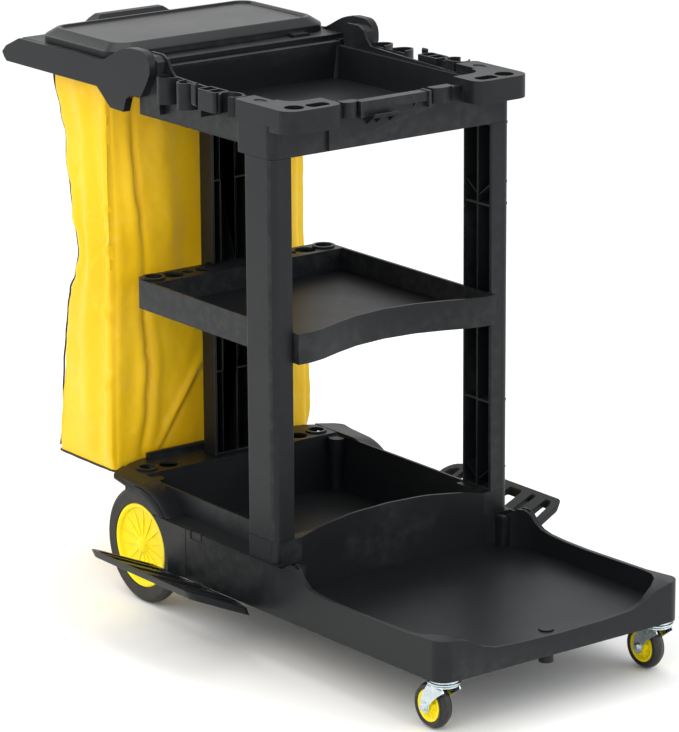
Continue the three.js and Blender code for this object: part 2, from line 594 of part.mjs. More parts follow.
// ---- ladder racks on both sides ----------------------------------------------------------------
const RACK_TILT = Math.atan(0.435);
function rack() {
  // drawn flat with u outward from the base edge, then tilted up and outward
  const flat = (pts, z0, z1) => plate(pts.map(([u, y]) => [-u, y]).reverse(), z0, z1);
  const arcAt = (u, y, r, a0, a1, n) => Array.from({ length: n + 1 }, (_, i) => {
    const t = ((a0 + (i / n) * (a1 - a0)) * Math.PI) / 180;
    return [u + r * Math.cos(t), y + r * Math.sin(t)];
  });
  const outline = [[0, 97], [32, 24], [38, 21], ...arcAt(135, 46, 15, -80, 0, 5),
    ...arcAt(118, 300, 32, 0, 90, 6), [0, 332], [0, 268], [9, 260], [9, 214], [0, 206]];
  const body = flat(outline, 0, 16);
  const cells = [];
  for (const y of [128, 190, 252]) cells.push(flat(rounded(20, 138, y, y + 34, 4, 2), -2, 20));
  cells.push(flat([[36, 34], [133, 48], [138, 53], [138, 66], [26, 66], [24, 60]], -2, 20));
  cells.push(flat([[10, 100], [14, 92], [138, 92], [138, 104], [10, 104]], -2, 20));
  cells.push(flat([[20, 298], [137, 298], [135, 307], [126, 317], [114, 320], [20, 320]], -2, 20));
  const m = cut(body, cells).getMesh();
  const c = Math.cos(RACK_TILT);
  const s = Math.sin(RACK_TILT);
  const p = Float32Array.from(m.vertProperties);
  for (let i = 0; i < p.length; i += 3) {
    const u = p[i];
    const w = p[i + 2];
    p[i] = u * c - w * s - 248.4;
    p[i + 2] = -u * s + w * c + 71.5;
  }
  return new wasm.Manifold(new wasm.Mesh({ numProp: 3, vertProperties: p, triVerts: m.triVerts }));
}
pair("side_rack", rack(), "black");

// ---- rear axle and wheels -------------------------------------------------------------------
add("rear_axle", rod(-236.2, 236.2, WHEEL_Y, WHEEL_R, 6, 24), "steel");

const wheelMid = (WHEEL_IN + WHEEL_OUT) / 2;
const hubHalf = (WHEEL_OUT - WHEEL_IN) / 2;
const rearHub = () => {
  const r = [[0, -hubHalf + 1], [10, -hubHalf + 1], [14, -hubHalf + 4], [16, -6], [62, -6],
    [62, -hubHalf + 4], [73, -hubHalf + 4], [73, hubHalf - 3], [66, hubHalf - 3], [63, hubHalf - 9],
    [20, hubHalf - 6], [16, hubHalf], [6.08, hubHalf], [6.08, -7], [0, -7], [0, -hubHalf + 1]];
  const hub = wheelPart(r, -wheelMid, WHEEL_Y, WHEEL_R, 1, 24);
  const ribs = [];
  for (let i = 0; i < 8; i++) {
    const g = new THREE.BoxGeometry(6, 47, 2.4).translate(-wheelMid - hubHalf + 7, 41, 0);
    ribs.push(solid(g.rotateX((i / 8) * 2 * Math.PI).translate(0, WHEEL_Y, WHEEL_R)));
  }
  return union([hub, ...ribs]);
};
pair("rear_hub", rearHub(), "hub");
const tread = [[73.3, -hubHalf + 2], [92, -hubHalf + 1], [100, -hubHalf + 10], [100, hubHalf - 10],
  [92, hubHalf - 1], [73.3, hubHalf - 2], [73.3, -hubHalf + 2]];
pair("rear_tyre", wheelPart(tread, -wheelMid, WHEEL_Y, WHEEL_R, 1, 40), "tyre");

// ---- casters ----------------------------------------------------------------------------------
const ZP = 89;
const wheelY = CASTER_Y + CASTER_TRAIL;
const raceway = turned([[0, ZP - 7.5], [21, ZP - 7.5], [27, ZP - 6], [27, ZP - 3.5], [24, ZP - 2],
  [24, ZP - GAP], [0, ZP - GAP]], -CASTER_X, CASTER_Y, 18);
pair("caster_top", raceway.add(post(-CASTER_X, CASTER_Y, 6, ZP - 5, 106, 16)), "zinc");

function fork() {
  const z = ZP - 7.5 - GAP;
  const crown = turned([[0, z - 5], [20, z - 5], [24, z - 3], [24, z], [0, z]], -CASTER_X, CASTER_Y, 18);
  const cheek = [[CASTER_Y - 17, z - 2], [CASTER_Y - 20, z - 8], [wheelY - 11, 38], [wheelY - 9, 29],
    [wheelY, 26.5], [wheelY + 9, 29], [wheelY + 12, 38], [CASTER_Y + 22, z - 8], [CASTER_Y + 19, z - 2]];
  const sides = [-1, 1].map((s) => {
    const a = -CASTER_X + s * 15.5;
    const b = -CASTER_X + s * 18;
    return prismX(cheek, Math.min(a, b), Math.max(a, b));
  });
  const bridge = box(-CASTER_X - 18, -CASTER_X + 18, CASTER_Y - 16, CASTER_Y + 18, z - 5, z - 2);
  return cut(union([crown, bridge, ...sides]), [
    rod(-CASTER_X - 30, -CASTER_X + 30, wheelY, CASTER_R, 4.05, 16)]);
}
pair("caster_fork", fork(), "zinc");

const bolt = union([
  rod(-CASTER_X - 19, -CASTER_X + 21, wheelY, CASTER_R, 4, 16),
  rod(-CASTER_X - 23.5, -CASTER_X - 18.3, wheelY, CASTER_R, 7, 6),
  rod(-CASTER_X + 18.3, -CASTER_X + 23, wheelY, CASTER_R, 7, 6),
]);
pair("caster_bolt", bolt, "zinc");
const casterHub = [[4.1, -12.5], [9, -12.5], [12, -8], [20, -8], [23, -10.5], [26, -10.5], [26, 10.5],
  [23, 10.5], [20, 8], [12, 8], [9, 12.5], [4.1, 12.5], [4.1, -12.5]];
pair("caster_hub", wheelPart(casterHub, -CASTER_X, wheelY, CASTER_R, 1, 16), "hub");
const casterTyre = [[26.3, -10.5], [34, -12], [37.5, -6], [37.5, 6], [34, 12], [26.3, 10.5], [26.3, -10.5]];
pair("caster_tyre", wheelPart(casterTyre, -CASTER_X, wheelY, CASTER_R, 1, 32), "castertyre");

// ---- drain plug under the front edge ------------------------------------------------------------
add("drain_plug", union([post(0, DRAIN_Y, 9, 64, FLOOR + 2, 20), post(0, DRAIN_Y, 12, 62, 86, 20),
  post(0, DRAIN_Y, 12.5, FLOOR + GAP, FLOOR + 2.4, 20)]), "black");

export default group;
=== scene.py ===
import json
import math

import bmesh
import bpy
from mathutils import Matrix, Vector, noise


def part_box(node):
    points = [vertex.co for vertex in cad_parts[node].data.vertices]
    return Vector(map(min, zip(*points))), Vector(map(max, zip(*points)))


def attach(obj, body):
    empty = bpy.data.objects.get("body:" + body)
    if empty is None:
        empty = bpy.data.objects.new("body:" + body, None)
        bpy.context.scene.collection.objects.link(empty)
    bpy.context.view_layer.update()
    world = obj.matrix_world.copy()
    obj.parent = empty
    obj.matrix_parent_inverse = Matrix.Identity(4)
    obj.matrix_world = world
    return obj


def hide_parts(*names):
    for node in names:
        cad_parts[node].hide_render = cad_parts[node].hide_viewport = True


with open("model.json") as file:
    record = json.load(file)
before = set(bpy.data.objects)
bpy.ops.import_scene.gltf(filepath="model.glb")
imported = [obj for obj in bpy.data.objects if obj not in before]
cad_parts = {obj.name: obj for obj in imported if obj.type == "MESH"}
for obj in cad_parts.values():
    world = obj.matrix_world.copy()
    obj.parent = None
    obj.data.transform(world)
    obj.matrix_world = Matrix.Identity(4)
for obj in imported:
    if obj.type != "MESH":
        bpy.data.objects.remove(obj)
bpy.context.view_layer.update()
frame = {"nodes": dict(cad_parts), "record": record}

NODES = frame["nodes"]


# ------------------------------------------------------------------ small helpers
def lerp(a, b, t):
    return a + (b - a) * t


def hexcol(h):
    """An sRGB hex colour as linear RGBA."""
    c = [int(h[i:i + 2], 16) / 255 for i in (0, 2, 4)]
    return [x / 12.92 if x <= 0.04045 else ((x + 0.055) / 1.055) ** 2.4 for x in c] + [1.0]


class Mat:
    """A node material built step by step."""

    def __init__(self, name):
        self.m = bpy.data.materials.new(name)
        self.m.use_nodes = True
        self.t = self.m.node_tree
        self.b = self.t.nodes["Principled BSDF"]
        self.co = self.t.nodes.new("ShaderNodeTexCoord").outputs["Object"]

    def node(self, kind, **kw):
        n = self.t.nodes.new(kind)
        for k, v in kw.items():
            if k in n.inputs:
                n.inputs[k].default_value = v
            else:
                setattr(n, k, v)
        return n

    def link(self, a, b):
        self.t.links.new(a, b)

    def noise(self, scale, detail=3.0, rough=0.55, stretch=None, distortion=0.0):
        n = self.node("ShaderNodeTexNoise", Scale=scale, Detail=detail, Roughness=rough,
                      Distortion=distortion)
        if stretch:
            mp = self.node("ShaderNodeMapping")
            mp.inputs["Scale"].default_value = stretch
            self.link(self.co, mp.inputs["Vector"])
            self.link(mp.outputs["Vector"], n.inputs["Vector"])
        else:
            self.link(self.co, n.inputs["Vector"])
        return n.outputs["Fac"]

    def mapr(self, fac, lo, hi, a, b):
        n = self.node("ShaderNodeMapRange")
        for k, v in (("From Min", lo), ("From Max", hi), ("To Min", a), ("To Max", b)):
            n.inputs[k].default_value = v
        self.link(fac, n.inputs["Value"])
        return n.outputs["Result"]

    def mix(self, fac, a, b):
        n = self.node("ShaderNodeMix", data_type="RGBA")
        for sock, v in ((n.inputs[0], fac), (n.inputs[6], a), (n.inputs[7], b)):
            if hasattr(v, "node"):
                self.link(v, sock)
            else:
                sock.default_value = v
        return n.outputs[2]

    def math(self, op, a, b=0.0):
        n = self.node("ShaderNodeMath", operation=op)
        for sock, v in ((n.inputs[0], a), (n.inputs[1], b)):
            if hasattr(v, "node"):
                self.link(v, sock)
            else:
                sock.default_value = v
        return n.outputs[0]

    def bump(self, height, strength, distance, normal=None):
        n = self.node("ShaderNodeBump", Strength=strength, Distance=distance)
        self.link(height, n.inputs["Height"])
        if normal is not None:
            self.link(normal, n.inputs["Normal"])
        return n.outputs["Normal"]

    def done(self, **sockets):
        for k, v in sockets.items():
            s = self.b.inputs[k.replace("_", " ")]
            if hasattr(v, "node"):
                self.link(v, s)
            else:
                s.default_value = v
        return self.m


def moulded_black(name, base="101316", light="14171a", rough=(0.36, 0.47), spec=0.24):
    """Injection-moulded black plastic: fine spark-eroded texture, faint flow marks, scuffs, and edges
    lightened by a painted highlight mixed with wear.
    """
    m = Mat(name)
    cloud = m.noise(7.0, 3.0, 0.5)
    fine = m.noise(900.0, 2.0, 0.6)
    col = m.mix(m.mapr(cloud, 0.3, 0.75, 0.0, 1.0), hexcol(base), hexcol(light))
    geo = m.node("ShaderNodeNewGeometry")
    # painted highlight and wear: the sharpest edges (pointiness) are lightened towards 4a4b4b, standing in
    # for rim glints as well as rubbed plastic
    edge = m.mapr(geo.outputs["Pointiness"], 0.53, 0.6, 0.0, 0.22)
    edge_highlight_and_wear = m.math("MULTIPLY", edge, m.mapr(m.noise(60.0, 4.0), 0.4, 0.65, 0.2, 1.0))
    col = m.mix(edge_highlight_and_wear, col, hexcol("4a4b4b"))
    scuff = m.mapr(m.noise(38.0, 6.0, 0.65, stretch=(1.0, 1.0, 3.0)), 0.58, 0.8, 0.0, 0.06)
    col = m.mix(scuff, col, hexcol("3c3c3a"))
    r = m.mapr(m.math("ADD", m.math("MULTIPLY", cloud, 0.6), m.math("MULTIPLY", fine, 0.4)),
               0.35, 0.7, rough[0], rough[1])
    n1 = m.bump(m.noise(1500.0, 2.0, 0.7), 0.12, 0.0005)
    n2 = m.bump(m.noise(9.0, 2.0), 0.05, 0.003, n1)
    m.b.inputs["Specular IOR Level"].default_value = spec
    return m.done(Base_Color=col, Roughness=r, Normal=n2)


def bag_cloth(name):
    """Coated nylon: a fine plain weave under a soft shiny film, with faint crease marks."""
    m = Mat(name)
    cloud = m.noise(5.0, 4.0, 0.55)
    col = m.mix(m.mapr(cloud, 0.3, 0.7, 0.0, 1.0), hexcol("fed018"), hexcol("f7c208"))
    rub = m.mapr(m.noise(45.0, 5.0, 0.6), 0.55, 0.8, 0.0, 0.3)
    col = m.mix(rub, col, hexcol("fde06a"))
    weave = []
    for axis in ("X", "Y", "Z"):
        w = m.node("ShaderNodeTexWave", wave_type="BANDS", bands_direction=axis,
                   Scale=420.0, Distortion=0.4)
        m.link(m.co, w.inputs["Vector"])
        weave.append(w.outputs["Fac"])
    threads = m.math("ADD", m.math("MULTIPLY", weave[0], weave[2]), m.math("MULTIPLY", weave[1], weave[2]))
    col = m.mix(m.mapr(threads, 0.0, 1.4, 0.0, 0.07), col, hexcol("d89f00"))
    crease = m.noise(26.0, 4.0, 0.6, stretch=(1.0, 1.0, 0.5), distortion=0.8)
    n1 = m.bump(threads, 0.10, 0.0004)
    n2 = m.bump(crease, 0.16, 0.004, n1)
    m.b.inputs["Sheen Weight"].default_value = 0.05
    m.b.inputs["Sheen Roughness"].default_value = 0.4
    m.b.inputs["Subsurface Weight"].default_value = 0.08
    m.b.inputs["Subsurface Radius"].default_value = (0.006, 0.004, 0.001)
    m.b.inputs["Specular IOR Level"].default_value = 0.3
    return m.done(Base_Color=col, Roughness=m.mapr(cloud, 0.3, 0.7, 0.36, 0.5), Normal=n2)


def woven_tape(name, base, light, scale=900.0):
    m = Mat(name)
    w = m.node("ShaderNodeTexWave", wave_type="BANDS", bands_direction="DIAGONAL",
               Scale=scale, Distortion=0.6)
    m.link(m.co, w.inputs["Vector"])
    col = m.mix(w.outputs["Fac"], hexcol(base), hexcol(light))
    return m.done(Base_Color=col, Roughness=m.mapr(m.noise(200.0), 0.3, 0.7, 0.6, 0.8),
                  Normal=m.bump(w.outputs["Fac"], 0.3, 0.0004))


def hub_yellow(name):
    m = Mat(name)
    cloud = m.noise(22.0, 4.0)
    col = m.mix(m.mapr(cloud, 0.35, 0.7, 0.0, 0.5), hexcol("f8e400"), hexcol("efd400"))
    dust = m.mapr(m.noise(130.0, 5.0), 0.55, 0.8, 0.0, 0.25)
    col = m.mix(dust, col, hexcol("d8bc00"))
    n1 = m.bump(m.noise(420.0, 2.0), 0.08, 0.0006)
    m.b.inputs["Specular IOR Level"].default_value = 0.3
    m.b.inputs["Subsurface Weight"].default_value = 0.05
    m.b.inputs["Subsurface Radius"].default_value = (0.004, 0.003, 0.001)
    return m.done(Base_Color=col, Roughness=m.mapr(cloud, 0.3, 0.7, 0.32, 0.48), Normal=n1)


def rubber(name, base, light, rough):
    m = Mat(name)
    cloud = m.noise(30.0, 5.0)
    col = m.mix(m.mapr(cloud, 0.35, 0.7, 0.0, 0.5), hexcol(base), hexcol(light))
    dust = m.mapr(m.noise(240.0, 6.0), 0.52, 0.75, 0.0, 0.3)
    col = m.mix(dust, col, hexcol("5d5853"))
    n1 = m.bump(m.noise(700.0, 3.0), 0.2, 0.0008)
    return m.done(Base_Color=col, Roughness=m.mapr(cloud, 0.3, 0.7, rough - 0.08, rough + 0.1), Normal=n1)


def plated(name, base="e4eef2", rough=0.24, brushed=None):
    m = Mat(name)
    cloud = m.noise(55.0, 4.0)
    col = m.mix(m.mapr(cloud, 0.3, 0.7, 0.0, 0.7), hexcol(base), hexcol("b2bec4"))
    scratch = m.noise(220.0, 4.0, 0.6, stretch=brushed or (1.0, 1.0, 1.0))
    r = m.mapr(scratch, 0.3, 0.7, rough - 0.07, rough + 0.12)
    n1 = m.bump(scratch, 0.06, 0.0006)
    m.b.inputs["Metallic"].default_value = 1.0
    return m.done(Base_Color=col, Roughness=r, Normal=n1)


BLACK = moulded_black("MouldedBlack")
BLACK_SMOOTH = moulded_black("MouldedBlackSmooth", "131517", "1a1c1f", (0.26, 0.36), 0.22)
HUB = hub_yellow("HubYellow")
TYRE = rubber("TyreGrey", "262422", "32302d", 0.7)
CASTER_TYRE = rubber("CasterTyreBlack", "0e0e0e", "191919", 0.4)
ZINC = plated("ZincPlate")
STEEL = plated("TurnedSteel", "a7abad", 0.3, (0.05, 1.0, 1.0))
BAG_CLOTH = bag_cloth("CoatedBagCloth")
PIPING = woven_tape("BlackPiping", "0c0c0c", "222222")
THREAD = woven_tape("YellowThread", "d9a200", "f7cf3a", 1500.0)

BY_SLOT = {"black": BLACK, "hub": HUB, "tyre": TYRE, "castertyre": CASTER_TYRE, "zinc": ZINC, "steel": STEEL,
           "bag": BAG_CLOTH}


def assign(o, mat):
    o.data.materials.clear()
    o.data.materials.append(mat)


def soften(o, width=0.0016, segments=3, angle=32):
    """Rounds the moulded edges of a CAD node with modifiers only."""
    for p in o.data.polygons:
        p.use_smooth = True
    w = o.modifiers.new("weld", "WELD")
    w.merge_threshold = 0.00002
    d = o.modifiers.new("flat", "DECIMATE")
    d.decimate_type = "DISSOLVE"
    d.angle_limit = math.radians(1.2)
    b = o.modifiers.new("edges", "BEVEL")
    b.width = width
    b.segments = segments
    b.limit_method = "ANGLE"
    b.angle_limit = math.radians(angle)
    b.use_clamp_overlap = True
    b.harden_normals = True
    wn = o.modifiers.new("normals", "WEIGHTED_NORMAL")
    wn.keep_sharp = True
    wn.weight = 60


slot_of = {s["node"]: s["material_slot"] for s in frame["record"]["subparts"]}
for name, o in NODES.items():
    assign(o, BLACK_SMOOTH if name == "lid" else BY_SLOT[slot_of[name]])
    if slot_of[name] == "black":
        soften(o)


# ------------------------------------------------------------------ mesh building
class Shape:
    """Collects vertices and faces, in metres, and turns them into one object."""

    def __init__(self):
        self.v, self.f = [], []

    def add(self, verts, faces):
        k = len(self.v)
        self.v += [tuple(p) for p in verts]
        self.f += [[i + k for i in f] for f in faces]
        return self

    def grid(self, rows, close_u=False, close_v=False):
        """A surface through rows of points.

        close_u joins the ends of each row, close_v joins the last row to the first.
        """
        n, m = len(rows), len(rows[0])
        faces = []
        for a in range(n if close_v else n - 1):
            b = (a + 1) % n
            for i in range(m if close_u else m - 1):
                j = (i + 1) % m
                faces.append([a * m + i, a * m + j, b * m + j, b * m + i])
        return self.add([p for r in rows for p in r], faces)

    def lathe(self, profile, centre, side=1, seg=72, axis="x", closed=True):
        """Spins (radius, height) points about a line along x (outward on the given side) or z."""
        cx, cy, cz = centre
        rows = []
        for r, h in profile:
            ring = []
            for i in range(seg):
                t = 2 * math.pi * i / seg
                if axis == "x":
                    ring.append((cx + side * h, cy + r * math.cos(t), cz + r * math.sin(t)))
                else:
                    ring.append((cx + r * math.cos(t), cy + r * math.sin(t), cz + h))
            rows.append(ring)
        return self.grid(rows, close_u=True, close_v=closed)

    def bar(self, a, b, up, width, height, taper):
        """A rib from a to b that stands on its foot and is rounded along its top."""
        round_top = 0.45
        a, b, up = Vector(a), Vector(b), Vector(up).normalized()
        across = (b - a).cross(up).normalized()
        w, h = width / 2, height
        prof = [(-w, 0), (-w, h - w * 2 * round_top), (-w * 0.7, h - w * 0.5 * round_top), (-w * 0.25, h),
                (w * 0.25, h), (w * 0.7, h - w * 0.5 * round_top), (w, h - w * 2 * round_top), (w, 0)]
        rows = [[q + across * x + up * (z * k) for x, z in prof] for q, k in ((a, 1.0), (b, taper))]
        n = len(prof)
        self.grid(rows, close_u=True)
        k = len(self.v) - 2 * n
        self.f += [[k + i for i in range(n)][::-1], [k + n + i for i in range(n)]]
        return self

    def tube(self, path, radius, seg=10, closed=False):
        pts = [Vector(q) for q in path]
        n = len(pts)
        rows = []
        for i, q in enumerate(pts):
            a = pts[(i - 1) % n] if closed or i else q
            b = pts[(i + 1) % n] if closed or i < n - 1 else q
            t = (b - a).normalized()
            u = t.orthogonal().normalized() if not rows else (u - t * u.dot(t)).normalized()
            w = t.cross(u)
            rows.append([q + (u * math.cos(x) + w * math.sin(x)) * radius
                         for x in (2 * math.pi * j / seg for j in range(seg))])
        self.grid(rows, close_u=True, close_v=closed)
        if not closed:
            k = len(self.v) - n * seg
            self.f += [[k + i for i in range(seg)][::-1], [k + (n - 1) * seg + i for i in range(seg)]]
        return self

    def plate(self, outline, x0, x1):
        """A flat outline of (y, z) points given thickness along x."""
        n = len(outline)
        k = len(self.v)
        self.v += [(x0, y, z) for y, z in outline] + [(x1, y, z) for y, z in outline]
        self.f += [[k + i for i in range(n)], [k + n + i for i in range(n)][::-1]]
        self.f += [[k + i, k + n + i, k + n + (i + 1) % n, k + (i + 1) % n] for i in range(n)]
        return self

    def object(self, name, mat, sharp=40, weld=True):
        me = bpy.data.meshes.new(name)
        me.from_pydata(self.v, [], self.f)
        bm = bmesh.new()
        bm.from_mesh(me)
        if weld:
            bmesh.ops.remove_doubles(bm, verts=bm.verts, dist=1e-6)
        bmesh.ops.recalc_face_normals(bm, faces=bm.faces)
        bm.to_mesh(me)
        bm.free()
        for q in me.polygons:
            q.use_smooth = True
        me.set_sharp_from_angle(angle=math.radians(sharp))
        me.materials.append(mat)
        o = bpy.data.objects.new(name, me)
        bpy.context.scene.collection.objects.link(o)
        return o


def bevelled(o, width, segments=2, angle=35):
    b = o.modifiers.new("edges", "BEVEL")
    b.width = width
    b.segments = segments
    b.limit_method = "ANGLE"
    b.angle_limit = math.radians(angle)
    b.harden_normals = True
    return o


def stands_for(o, body, slot, *nodes):
    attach(o, body)
    if nodes:
        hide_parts(*nodes)
    return o


def centre_of(node):
    lo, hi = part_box(node)
    return [(a + b) / 2 for a, b in zip(lo, hi)], [(b - a) / 2 for a, b in zip(lo, hi)]


def arc(cx, cy, r, a0, a1, n):
    """Points (u, v) on an arc, angles in degrees."""
    angles = [math.radians(lerp(a0, a1, i / n)) for i in range(n + 1)]
    return [(cx + r * math.cos(t), cy + r * math.sin(t)) for t in angles]


# ------------------------------------------------------------------ rear wheels
WHEEL_RIBS = 14
CASTER_RIBS = 8


def rear_wheel(name, side):
    c, half = centre_of(f"rear_tyre_{name}")
    R, w = half[1], half[0]
    body = f"rear_wheel_{name}"
    tread = ([(0.0735, -w + 0.0015)] + arc(0.0905, -w + 0.0065, 0.0055, -115, -40, 4)
             + arc(R - 0.009, -w + 0.0105, 0.009, -35, 10, 4) + arc(R - 0.009, w - 0.0105, 0.009, -10, 35, 4)
             + arc(0.0905, w - 0.0065, 0.0055, 40, 115, 4) + [(0.0735, w - 0.0015)])
    tread = [(min(r, R), h) for r, h in tread]
    o = Shape().lathe(tread, c, side, 96).object(f"rear_tyre_moulded_{name}", TYRE)
    stands_for(o, body, "tyre", f"rear_tyre_{name}")

    face = w - 0.0095
    boss = [(0.0, w - 0.0005), (0.0085, w - 0.0008), (0.0115, w - 0.0025), (0.013, w - 0.005),
            (0.0145, face + 0.0012)]
    disc = [(0.017, face), (0.040, face - 0.0012), (0.0615, face), (0.0632, face + 0.001)]
    rim = [(0.0642, w - 0.0045), (0.0655, w - 0.0028), (0.0675, w - 0.002), (0.0712, w - 0.0022),
           (0.0728, w - 0.0038), (0.073, 0), (0.0728, -w + 0.003), (0.064, -w + 0.003)]
    back = [(0.062, -w + 0.010), (0.018, -w + 0.010), (0.0145, -w + 0.002), (0.0075, -w + 0.001),
            (0.0064, -w + 0.002), (0.0064, 0.0), (0.0, 0.001)]
    prof = boss + disc + rim + back
    hub = Shape().lathe(prof, c, side, 96, closed=False)
    x = c[0] + side * (face - 0.0014)
    for i in range(WHEEL_RIBS):
        t = 2 * math.pi * (i + 0.5) / WHEEL_RIBS
        d = Vector((0, math.cos(t), math.sin(t)))
        a = Vector((x, c[1], c[2])) + d * 0.0125
        b = Vector((x, c[1], c[2])) + d * 0.0645
        hub.bar(a, b, (side, 0, 0), 0.0018, 0.0032, taper=0.6)
    o = hub.object(f"rear_hub_ribbed_{name}", HUB, weld=False)
    stands_for(o, body, "hub", f"rear_hub_{name}")


for _n, _s in (("left", -1), ("right", 1)):
    rear_wheel(_n, _s)


# ------------------------------------------------------------------ swivel casters
def caster(name, side):
    (cx, wy, wz), half = centre_of(f"caster_tyre_{name}")
    (_, sy, _), _ = centre_of(f"caster_top_{name}")
    R, w = half[1], half[0]
    wheel, frame_body = f"caster_wheel_{name}", f"caster_{name}"
    c = (cx, wy, wz)
    tyre = ([(0.0264, -0.0098)] + arc(0.031, -w + 0.0032, 0.003, -130, -60, 3)
            + arc(R - 0.0115, 0.0, 0.0115, -62, 62, 12)
            + arc(0.031, w - 0.0032, 0.003, 60, 130, 3) + [(0.0264, 0.0098)])
    tyre = [(min(r, R), h) for r, h in tyre]
    o = Shape().lathe(tyre, c, side, 72).object(f"caster_tyre_round_{name}", CASTER_TYRE)
    stands_for(o, wheel, "castertyre", f"caster_tyre_{name}")

    prof = [(0.0043, 0.0122), (0.0075, 0.0122), (0.0092, 0.0112), (0.0102, 0.0082),
            (0.0125, 0.0066), (0.0175, 0.0062), (0.0195, 0.0074), (0.0212, 0.0098),
            (0.0228, 0.0104), (0.0258, 0.0102), (0.0262, 0.0095)]
    full = prof + [(r, -h) for r, h in prof[::-1]]
    hub = Shape().lathe(full, c, side, 64)
    for s in (-1, 1):
        for i in range(CASTER_RIBS):
            t = 2 * math.pi * (i + 0.5) / CASTER_RIBS
            d = Vector((0, math.cos(t), math.sin(t)))
            a = Vector((cx + s * 0.0055, wy, wz)) + d * 0.0098
            b = Vector((cx + s * 0.0055, wy, wz)) + d * 0.0205
            hub.bar(a, b, (s, 0, 0), 0.0016, 0.0042, taper=0.6)
    o = hub.object(f"caster_hub_ribbed_{name}", HUB, weld=False)
    stands_for(o, wheel, "hub", f"caster_hub_{name}")

    # pressed fork: round crown, broad cheeks that narrow in a curve to the axle
    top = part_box(f"caster_fork_{name}")[1][2]
    front = [(lerp(sy - 0.0195, wy - 0.0105, t) + 0.0035 * math.sin(math.pi * t),
              lerp(top - 0.009, wz + 0.004, t)) for t in (0.25, 0.5, 0.75, 1.0)]
    rear = [(lerp(wy + 0.0105, sy + 0.0225, t ** 1.7), lerp(wz + 0.004, top - 0.008, t))
            for t in (0.2, 0.4, 0.6, 0.8, 1.0)]
    cheek = ([(sy - 0.0165, top - 0.0045), (sy - 0.0195, top - 0.009)] + front
             + arc(wy, wz, 0.0108, 190, 350, 10) + rear + [(sy + 0.0195, top - 0.0045)])
    fork = Shape()
    for s in (-1, 1):
        a, b = sorted((cx + s * 0.0156, cx + s * 0.0179))
        fork.plate(cheek, a, b)
    bridge = [(cx - 0.0179, top - 0.0045), (cx - 0.0170, top - 0.0024), (cx - 0.0150, top - 0.0018),
              (cx + 0.0150, top - 0.0018), (cx + 0.0170, top - 0.0024), (cx + 0.0179, top - 0.0045)]
    rows = [[(x, y, z) for x, z in bridge + [(x, z - 0.002) for x, z in bridge[::-1]]]
            for y in (sy - 0.0165, sy + 0.0195)]
    k = len(fork.v)
    fork.grid(rows, close_u=True)
    fork.f += [[k + i for i in range(12)][::-1], [k + 12 + i for i in range(12)]]
    crown = [(0.0, 0.0), (0.0215, 0.0), (0.0235, -0.0012), (0.0237, -0.0026), (0.0212, -0.0042),
             (0.0, -0.0046)]
    fork.lathe(crown, (cx, sy, top), 1, 48, "z", closed=False)
    o = bevelled(fork.object(f"caster_fork_pressed_{name}", ZINC, weld=False), 0.0005)
    stands_for(o, frame_body, "zinc", f"caster_fork_{name}")

    bolt = Shape()
    lo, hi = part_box(f"caster_bolt_{name}")
    for s, reach, r in ((-1, lo[0], 0.0066), (1, hi[0], 0.0064)):
        seat = cx + s * 0.0180
        bolt.lathe([(0.0, 0.0), (0.0082, 0.0), (0.0085, 0.0004), (0.0082, 0.0010), (0.0, 0.0010)],
                   (seat, wy, wz), s, 32, closed=False)
        d = abs(reach - seat)
        bolt.lathe([(0.0, 0.0009), (r, 0.0009), (r, d - 0.0009), (r * 0.86, d - 0.0002), (0.0, d)],
                   (seat, wy, wz), s, 6, closed=False)
    bolt.lathe([(0.0, 0.0), (0.0032, 0.0), (0.0039, 0.0008), (0.0039, 0.0375), (0.0, 0.0378)],
               (cx - 0.0189, wy, wz), 1, 24, closed=False)
    o = bolt.object(f"caster_bolt_hex_{name}", ZINC, sharp=25, weld=False)
    stands_for(o, frame_body, "zinc", f"caster_bolt_{name}")

    lo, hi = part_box(f"caster_top_{name}")
    z0 = lo[2]
    race = Shape()
    plates = [(0.0, 0.0), (0.0205, 0.0), (0.0222, 0.0004), (0.0262, 0.0014), (0.0270, 0.0024),
              (0.0270, 0.0036), (0.0262, 0.0044), (0.0240, 0.0048), (0.0236, 0.0056),
              (0.0236, 0.0070), (0.0, 0.0070)]
    stem = hi[2] - z0
    stem_profile = [(0.0, 0.006), (0.0058, 0.006), (0.0058, stem - 0.001), (0.0048, stem), (0.0, stem)]
    race.lathe(plates, (cx, sy, z0), 1, 64, "z", closed=False)
    race.lathe(stem_profile, (cx, sy, z0), 1, 24, "z", closed=False)
    o = race.object(f"caster_race_{name}", ZINC, weld=False)
    stands_for(o, "chassis", "zinc", f"caster_top_{name}")


for _n, _s in (("left", -1), ("right", 1)):
    caster(_n, _s)


# ------------------------------------------------------------------ hanging bag
Y0 = 0.179                 # the front columns' front face lies this far in front of the middle


def table(t, pairs):
    """Smooth interpolation through (position, value) pairs."""
    xs = [a for a, _ in pairs]
    if t <= xs[0]:
        return pairs[0][1]
    for (a, va), (b, vb) in zip(pairs, pairs[1:]):
        if t <= b:
            u = (t - a) / (b - a)
            return lerp(va, vb, u * u * (3 - 2 * u))
    return pairs[-1][1]


def gauss(x, width):
    return math.exp(-(x / width) ** 2)


BAG_TOP, BAG_BOTTOM = 0.903, 0.1915
# how far back the near rear edge hangs, by height
REAR_EDGE = [(0.190, 0.692), (0.238, 0.684), (0.279, 0.678), (0.355, 0.672), (0.406, 0.665), (0.457, 0.655),
             (0.492, 0.646), (0.521, 0.628), (0.562, 0.618), (0.591, 0.622), (0.622, 0.634), (0.642, 0.633),
             (0.669, 0.637), (0.724, 0.649), (0.763, 0.648), (0.799, 0.661), (0.858, 0.680), (0.903, 0.690)]
# the long fold on the front face beside the left corner, by height
FOLD = [(0.19, -0.156), (0.213, -0.152), (0.304, -0.139), (0.367, -0.133), (0.407, -0.137), (0.461, -0.142),
        (0.552, -0.140), (0.639, -0.146), (0.678, -0.153), (0.811, -0.157), (0.91, -0.150)]

